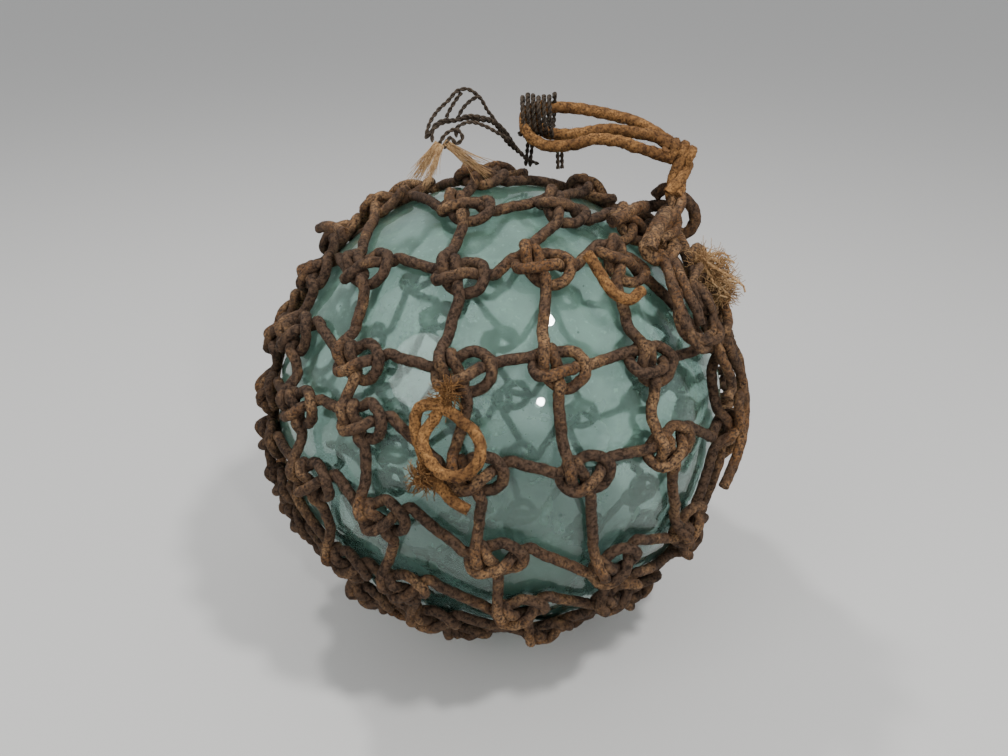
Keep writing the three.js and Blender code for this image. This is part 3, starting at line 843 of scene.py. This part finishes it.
class FLOAT_OT_stage(bpy.types.Operator):
    """Makes the floor, the lights and the camera"""

    bl_idname = "net_float.stage"
    bl_label = "Stage"

    def execute(self, context):
        settings = context.scene.float_stage
        material, graph = new_material("floor")
        surface = graph.node("ShaderNodeBsdfPrincipled", None, {
            "Base Color": colour(settings.floor), "Roughness": 0.85})
        graph.node("ShaderNodeOutputMaterial", None, {"Surface": surface})
        far = 14.0
        mesh = bpy.data.meshes.new("floor")
        mesh.from_pydata([(-far, -far, 0), (far, -far, 0), (far, far, 0), (-far, far, 0)], [],
                         [(0, 1, 2, 3)])
        mesh.materials.append(material)
        floor = bpy.data.objects.new("floor", mesh)
        context.scene.collection.objects.link(floor)
        world = bpy.data.worlds.new("studio")
        world.use_nodes = True
        world.node_tree.nodes.clear()
        sky = Graph(world.node_tree)
        light = sky.node("ShaderNodeBackground", None, {
            "Color": colour((0.95, 0.97, 1.0)), "Strength": settings.sky})
        sky.node("ShaderNodeOutputWorld", None, {"Surface": light})
        context.scene.world = world
        middle = Vector(CENTRE)
        for name, place, size, power in LIGHTS:
            lamp = bpy.data.lights.new(name, "AREA")
            lamp.shape, lamp.size, lamp.energy = "DISK", size, power
            holder = bpy.data.objects.new(name, lamp)
            holder.location = middle + Vector(place)
            holder.rotation_euler = (-Vector(place)).to_track_quat("-Z", "Y").to_euler()
            context.scene.collection.objects.link(holder)
        camera = bpy.data.cameras.new("camera")
        camera.sensor_width = SENSOR
        camera.lens = SENSOR * FOCAL_PIXELS / IMAGE_WIDTH
        holder = bpy.data.objects.new("camera", camera)
        holder.location = from_middle(CAMERA_FROM_MIDDLE)
        holder.rotation_euler = (math.radians(90 - CAMERA_DOWN), 0, 0)
        context.scene.collection.objects.link(holder)
        context.scene.camera = holder
        return {"FINISHED"}


def glass_wall(wall, material, around=128, bands=64):
    """The ball's outer and inner faces, gently uneven, as hand-blown glass is."""
    points, faces = [], []
    for radius, flipped in ((GLASS_RADIUS, False), (GLASS_RADIUS - wall, True)):
        first = len(points)
        points.append(CENTRE + radius * UP)
        for band in range(1, bands):
            tilt = math.pi * band / bands
            for step in range(around):
                turn = TAU * step / around
                way = np.array((math.sin(tilt) * math.cos(turn), math.sin(tilt) * math.sin(turn),
                                math.cos(tilt)))
                swell = math.sin(3 * way[0] + 2) * math.sin(4 * way[1]) * math.sin(3 * way[2] + 1)
                uneven = 0.8 * MM * swell if flipped else 0.0
                points.append(CENTRE + (radius + uneven) * way)
        points.append(CENTRE - radius * UP)
        last = len(points) - 1
        shell = []
        for step in range(around):
            after = (step + 1) % around
            shell.append((first, first + 1 + step, first + 1 + after))
            low = last - around
            shell.append((last, low + after, low + step))
            for band in range(bands - 2):
                a = first + 1 + band * around
                shell.append((a + step, a + around + step, a + around + after, a + after))
        faces.extend(face[::-1] for face in shell) if flipped else faces.extend(shell)
    mesh = bpy.data.meshes.new("glass_shell")
    mesh.from_pydata([tuple(p) for p in points], [], faces)
    mesh.shade_smooth()
    mesh.materials.append(material)
    return mesh


class FLOAT_OT_glass(bpy.types.Operator):
    """Makes the hollow glass ball and the bubbles in its wall"""

    bl_idname = "net_float.glass"
    bl_label = "Glass"

    def execute(self, context):
        settings = context.scene.float_glass
        glass = glass_material("glass", settings.tint, settings.depth, settings.haze, settings.pale,
                               settings.deep)
        shell = glass_wall(settings.wall, glass)
        finished("glass_shell", shell, "glass", "glass_ball")
        clear, graph = new_material("bubble")
        surface = graph.node("ShaderNodeBsdfPrincipled", None, {
            "Base Color": colour((0.9, 0.98, 0.96)), "Roughness": 0.02, "IOR": 1.5,
            "Transmission Weight": 1.0})
        graph.node("ShaderNodeOutputMaterial", None, {"Surface": surface})
        middle = bpy.data.meshes.new("wall_middle")
        skin = GLASS_RADIUS - settings.wall / 2
        ring = glass_wall(settings.wall, glass, around=32, bands=16)
        half = len(ring.vertices) // 2
        middle.from_pydata(
            [CENTRE + (np.array(v.co) - CENTRE) * skin / GLASS_RADIUS for v in ring.vertices[:half]],
            [], [list(f.vertices) for f in ring.polygons if max(f.vertices) < half])
        tree = once("Bubbles", bubble_tree)
        bubbles = evaluated_mesh("glass_bubbles", middle, tree, {
            "Density": settings.bubbles, "Material": clear, "Largest": settings.wall * 0.24})
        finished("glass_bubbles", bubbles, "glass", "glass_ball")
        return {"FINISHED"}


def knot_lines(ring, row, rope, rng):
    """The bight and the working part of one sheet bend, from the middle of the glass."""
    stand = knot_frame(ring, row)
    here = stand.z * GLASS_RADIUS
    rooms = {}
    for side, (k, r) in {"left": (ring + 1, row), "right": (ring - 1, row),
                         "up": (ring, row - 1), "down": (ring, row + 1)}.items():
        if 0 <= k < len(RINGS):
            rooms[side] = np.linalg.norm(knot_frame(k, r).z * GLASS_RADIUS - here) / rope
        else:
            rooms[side] = 9.0
    size = min(1.0, max(0.74, min(rooms["up"], rooms["down"]) / 4.4))
    size *= rng.uniform(0.95, 1.04)
    turn = math.radians(rng.normal(0, 4))
    squeeze = rng.uniform(0.93, 1.05)

    def placed(points):
        line = []
        for x, y, z in points:
            x, y = x * size * squeeze, y * size
            x, y = (x * math.cos(turn) - y * math.sin(turn), x * math.sin(turn) + y * math.cos(turn))
            reach = {"left": -x, "right": x, "up": y, "down": -y}
            if any(reach[side] > 0.44 * rooms[side] and reach[side] > 1.4 for side in reach):
                continue
            jitter = rng.normal(0, 0.05, 3)
            height = (0.5 + (z - 0.5) * KNOT_PRESS * size + abs(jitter[2])) * rope
            line.append(stand.point((x + jitter[0]) * rope, (y + jitter[1]) * rope, height))
        return line

    return placed(BIGHT), placed(WORKING)


def leg(start, end, rope, rng):
    """Points between two knots, where the rope lies on the glass."""
    count = max(0, int(np.linalg.norm(end - start) / (9 * MM)) - 1)
    points = []
    for k in range(count):
        share = (k + 1) / (count + 1)
        way = start * (1 - share) + end * share + rng.normal(0, 0.25 * MM, 3)
        points.append(unit(way) * (GLASS_RADIUS + 0.53 * rope))
    return points


def hitch_line(last, row, mirror, rope, angle):
    stand = GlassFrame(angle, row_turn(last, row + 0.5))
    bight = [stand.point(mirror * x * rope, y * rope, z * rope) for x, y, z in HITCH]
    draw = [stand.point(mirror * x * rope, y * rope, z * rope) for x, y, z in DRAW_ROPE]
    return bight, draw


class FLOAT_OT_net(bpy.types.Operator):
    """Ties the net: ropes that climb from pole to pole and are bent together at every knot"""

    bl_idname = "net_float.net"
    bl_label = "Net"

    def execute(self, context):
        settings = context.scene.float_net
        rope = settings.diameter
        rng = np.random.default_rng(SEED)
        knots = {(ring, row): knot_lines(ring, row, rope, rng)
                 for ring in range(len(RINGS)) for row in range(KNOTS_PER_RING)}
        last = len(RINGS) - 1

        def staircase(row):
            parts = []
            for ring in range(last, -1, -1):
                parts.append(knots[ring, row % KNOTS_PER_RING][0])
                row -= 1
                parts.append(knots[ring, row % KNOTS_PER_RING][1])
            return parts, row

        def joined(parts):
            line = []
            for part, after in zip(parts, parts[1:] + parts[:1]):
                line.extend(part)
                line.extend(leg(part[-1], after[0], rope, rng))
            return line

        loops, draws = [], [[], []]
        for row in range(0, KNOTS_PER_RING, 2):
            there, end = staircase(row)
            back, _ = staircase(row + 1)
            back = [part[::-1] for part in back[::-1]]
            right, right_draw = hitch_line(0, end, 1, rope, DRAW_ANGLE)
            left, left_draw = hitch_line(last, row, -1, rope, 180 - DRAW_ANGLE)
            loops.append(joined([*there, right, *back, left[::-1]]))
            draws[0].append((row_turn(0, end + 0.5), right_draw))
            draws[1].append((row_turn(last, row + 0.5), left_draw))
        for ends in draws:
            ends.sort(key=lambda pair: pair[0])
            loops.append(joined([part for _, part in ends]))
        lines = [smooth_line([self.above_floor(p, rope) for p in loop], 1.45 * MM, closed=True)
                 for loop in loops]
        for k in range(NET_PIECES):
            rope_piece(f"net_rope_{k + 1}", lines[k::NET_PIECES], net_finish(), "net_rope", ["net"],
                       closed=True, diameter=rope, sides=12, lay_length=26 * MM,
                       strand_depth=0.09, unevenness=0.28, fuzz_density=settings.fuzz,
                       seed=SEED + k)
        return {"FINISHED"}

    def above_floor(self, point, rope):
        place = CENTRE + point
        place[2] = max(place[2], 0.45 * rope)
        return place


def twisted_twine(points, diameter, step=0.9 * MM, pitch=8.5 * MM):
    """Two plies along a route given from the middle of the glass, and the route itself."""
    line = smooth_line(from_middle(points), step)
    return plies(line, 2, 0.27 * diameter, pitch), line


def coil(start, end, radius, turns, wobble=0.0, phase=0.0):
    """Millimetre points of a rope wound round the line from start to end."""
    start, end = np.asarray(start, float), np.asarray(end, float)
    share = np.linspace(0, 1, max(8, int(turns * 14)))
    base = start + (end - start) * share[:, None]
    sides, others = side_frames(base)
    turn = TAU * turns * share + phase
    reach = radius * (1 + wobble * np.sin(2.7 * turn + 1) * np.cos(0.9 * turn))
    return base + reach[:, None] * (np.cos(turn)[:, None] * sides + np.sin(turn)[:, None] * others)


class FLOAT_OT_becket(bpy.types.Operator):
    """Makes the becket: its doubled rope, knobby end, neck and hitches"""

    bl_idname = "net_float.becket"
    bl_label = "Becket"

    def execute(self, context):
        rope = context.scene.float_becket.diameter
        finish = becket_finish()
        for name, route, lumpy in (("back", BECKET_BACK, 0.3), ("front", BECKET_FRONT, 0.6)):
            rope_piece(f"becket_{name}", [smooth_line(from_middle(route), 1.35 * MM)], finish,
                       "becket_rope", ["becket"], diameter=rope, sides=16, lay_length=24 * MM,
                       strand_depth=0.12, unevenness=lumpy, fuzz_density=100000.0,
                       fuzz_length=2.6 * MM)
        lump = coil((114, 13, 192), (131, 8, 184), 5.2, 3.4, wobble=0.3)
        rope_piece("becket_knob", [smooth_line(from_middle(lump), 1.35 * MM)], finish,
                   "becket_rope", ["becket"], diameter=0.8 * rope, sides=14,
                   lay_length=12 * MM, strand_depth=0.2, unevenness=0.7,
                   fuzz_density=90000.0)
        neck = plies(smooth_line(from_middle(BECKET_NECK), 1.35 * MM), 3, 3.6 * MM, 60 * MM)
        rope_piece("becket_neck", neck, finish, "becket_rope", ["becket"], diameter=7.4 * MM,
                   sides=14, unevenness=0.5, fuzz_density=100000.0)
        knots = [smooth_line(from_middle(CLUSTER[name]), 1.35 * MM) for name in CLUSTER]
        rope_piece("becket_cluster", knots, net_finish(), "becket_rope", ["becket"],
                   diameter=8.6 * MM, sides=16, unevenness=0.34, lay_length=24 * MM,
                   strand_depth=0.14, fuzz_density=90000.0)
        double = plies(smooth_line(from_middle(BECKET_DOUBLE), 1.35 * MM), 2, 3.1 * MM, 60 * MM)
        rope_piece("becket_double", double, net_finish(), "becket_rope", ["becket"],
                   diameter=6.6 * MM, sides=14, unevenness=0.3, fuzz_density=90000.0)
        return {"FINISHED"}


class FLOAT_OT_lashing(bpy.types.Operator):
    """Winds the tarred twine that lashes the becket to the net"""

    bl_idname = "net_float.lashing"
    bl_label = "Lashing"

    def execute(self, context):
        twine = context.scene.float_twine.diameter
        x, y, z = LASHING_START
        turns = coil((x - 1, y, z + 2), (x + 23, y - 2, z + 3), 12.6, 6.6, wobble=0.13, phase=1.0)
        lines = twisted_twine(turns, 1.25 * twine)[0]
        for number, leg_points in enumerate(LASHING_LEGS):
            for shift in (-1.6, 1.4):
                moved = [(px + shift, py + shift * (0.6 if number else -0.6), pz)
                         for px, py, pz in leg_points]
                lines.extend(twisted_twine(moved, twine)[0])
        rope_piece("lashing_turns", lines, twine_finish(), "tarred_twine", ["becket_lashing"],
                   diameter=0.62 * twine, sides=8, lay_length=5 * MM, strand_depth=0.08,
                   unevenness=0.15, fuzz_density=90000.0, fuzz_length=1.35 * MM)
        return {"FINISHED"}


class FLOAT_OT_twine(bpy.types.Operator):
    """Makes the loose length of twine and its frayed ends"""

    bl_idname = "net_float.twine"
    bl_label = "Twine tail"

    def execute(self, context):
        twine = context.scene.float_twine.diameter
        lines, path = twisted_twine(TWINE_TAIL, twine)
        tail = rope_piece("twine_tail_plies", lines, twine_finish(), "tarred_twine", ["twine_tail"],
                          diameter=0.56 * twine, sides=8, lay_length=5 * MM, strand_depth=0.08,
                          unevenness=0.15, fuzz_density=110000.0, fuzz_length=1.35 * MM)
        shorts = []
        for route in TWINE_STRANDS.values():
            shorts.extend(twisted_twine(route, twine)[0])
        strands = rope_piece("twine_strands", shorts, twine_finish(), "tarred_twine",
                             ["twine_tail"], diameter=0.56 * twine, sides=8, lay_length=5 * MM,
                             strand_depth=0.08, unevenness=0.15, fuzz_density=110000.0,
                             fuzz_length=1.4 * MM)
        fibres = []
        for number, (start, end, spread) in enumerate(FRAYED_TWINE):
            fibres.extend(brush(from_middle(start), from_middle(end), spread * MM, 90,
                                SEED + number, curl=0.05, root=1.5 * MM))
        frays = rope_piece("frayed_twine_fibres", fibres, fray_finish(), "frayed_fibre",
                           ["frayed_twine"], diameter=0.55 * MM, sides=4, taper=0.6,
                           unevenness=0.1)
        return {"FINISHED"}


class FLOAT_OT_loose_ropes(bpy.types.Operator):
    """Makes the front tie, the bight and the run at the right side, and the rope ends"""

    bl_idname = "net_float.loose_ropes"
    bl_label = "Loose ropes"

    def execute(self, context):
        rope = context.scene.float_net.diameter

        def laid(name, points, finish, slot, node, diameter, **more):
            path = smooth_line(from_middle(points), 1.35 * MM)
            given = {"sides": 16, "unevenness": 0.28, "strand_depth": 0.1,
                     "fuzz_density": 90000.0, **more}
            piece = rope_piece(name, [path], finish, slot, [node], diameter=diameter, **given)
            return piece, path

        tie, path = laid("front_tie_rope", FRONT_TIE, becket_finish(), "becket_rope", "front_tie",
                         rope)
        crook = path[CROOK_POINT]
        ends = matted(path[0] - MM * np.array((2, 0, 4)), path[0] + MM * np.array((3, 0, 8)),
                      5 * MM, 150, SEED)
        ends += matted(crook - MM * np.array((2, 0, 3)), crook + MM * np.array((-8, -2, 4)),
                       6 * MM, 190, SEED + 1)
        frays = rope_piece("front_tie_frays", ends, becket_finish(), "becket_rope", ["front_tie"],
                           diameter=0.8 * MM, sides=4, taper=0.5, unevenness=0.1)
        path = smooth_line(from_middle(SIDE_BIGHT), 1.35 * MM)
        bight = rope_piece("side_bight_rope", plies(path, 2, 0.25 * SIDE_ROPE, 58 * MM),
                           net_finish(), "net_rope", ["side_bight"], diameter=0.54 * SIDE_ROPE,
                           sides=14, unevenness=0.3, fuzz_density=90000.0)
        gathered = [smooth_line(from_middle(route), 1.35 * MM) for route in GATHERED.values()]
        rope_piece("gathered_ropes", gathered, net_finish(), "net_rope", ["net"],
                   diameter=0.95 * rope, sides=14, unevenness=0.34, strand_depth=0.13,
                   fuzz_density=100000.0)
        loose, path = laid("loose_end_rope", LOOSE_END, becket_finish(), "net_rope", "loose_end", rope)
        laid("side_run_rope", SIDE_RUN, net_finish(), "net_rope", "side_run", rope)
        _, path = laid("left_end_rope", LEFT_END, net_finish(), "net_rope", "left_end", rope)
        start, end = from_middle(TAIL_START), from_middle(TAIL_END)
        yarns = brush(start, start + 0.7 * (end - start), 9 * MM, 24, SEED + 5, curl=0.4,
                      root=3 * MM)
        rope_piece("tail_yarns", yarns, fray_finish(), "frayed_fibre", ["frayed_tail"],
                   diameter=2.4 * MM, sides=8, taper=0.5, lay_length=8 * MM, strand_depth=0.25,
                   unevenness=0.5, fuzz_density=250000.0, fuzz_length=3 * MM)
        curls = matted(start, end, 13.5 * MM, 1000, SEED + 6)
        rope_piece("tail_wisps", curls, fray_finish(), "frayed_fibre", ["frayed_tail"],
                   diameter=0.6 * MM, sides=4, taper=0.5, unevenness=0.1)
        return {"FINISHED"}


class FLOAT_PT_parts(bpy.types.Panel):
    """Lists the float's pieces"""

    bl_idname = "FLOAT_PT_parts"
    bl_label = "Net Float"
    bl_space_type = "VIEW_3D"
    bl_region_type = "UI"
    bl_category = "Net Float"

    def draw(self, context):
        for name, group in SETTINGS.items():
            box = self.layout.box()
            for setting in group.__annotations__:
                box.prop(getattr(context.scene, name), setting)
        for operator in OPERATORS:
            self.layout.operator(operator.bl_idname)


SETTINGS = {
    "float_glass": FLOAT_PG_glass,
    "float_net": FLOAT_PG_net,
    "float_becket": FLOAT_PG_becket,
    "float_twine": FLOAT_PG_twine,
    "float_stage": FLOAT_PG_stage,
}
OPERATORS = [
    FLOAT_OT_stage, FLOAT_OT_glass, FLOAT_OT_net, FLOAT_OT_becket, FLOAT_OT_lashing,
    FLOAT_OT_twine, FLOAT_OT_loose_ropes,
]


def register():
    for group in (*SETTINGS.values(), *OPERATORS, FLOAT_PT_parts):
        bpy.utils.register_class(group)
    for name, group in SETTINGS.items():
        setattr(bpy.types.Scene, name, bpy.props.PointerProperty(type=group))


def unregister():
    for name in SETTINGS:
        delattr(bpy.types.Scene, name)
    for group in (FLOAT_PT_parts, *OPERATORS, *SETTINGS.values()):
        bpy.utils.unregister_class(group)


def main():
    register()
    for operator in OPERATORS:
        _, name = operator.bl_idname.split(".")
        if getattr(bpy.ops.net_float, name)() != {"FINISHED"}:
            raise RuntimeError(f"{name} didn't finish")


if __name__ == "__main__":
    main()
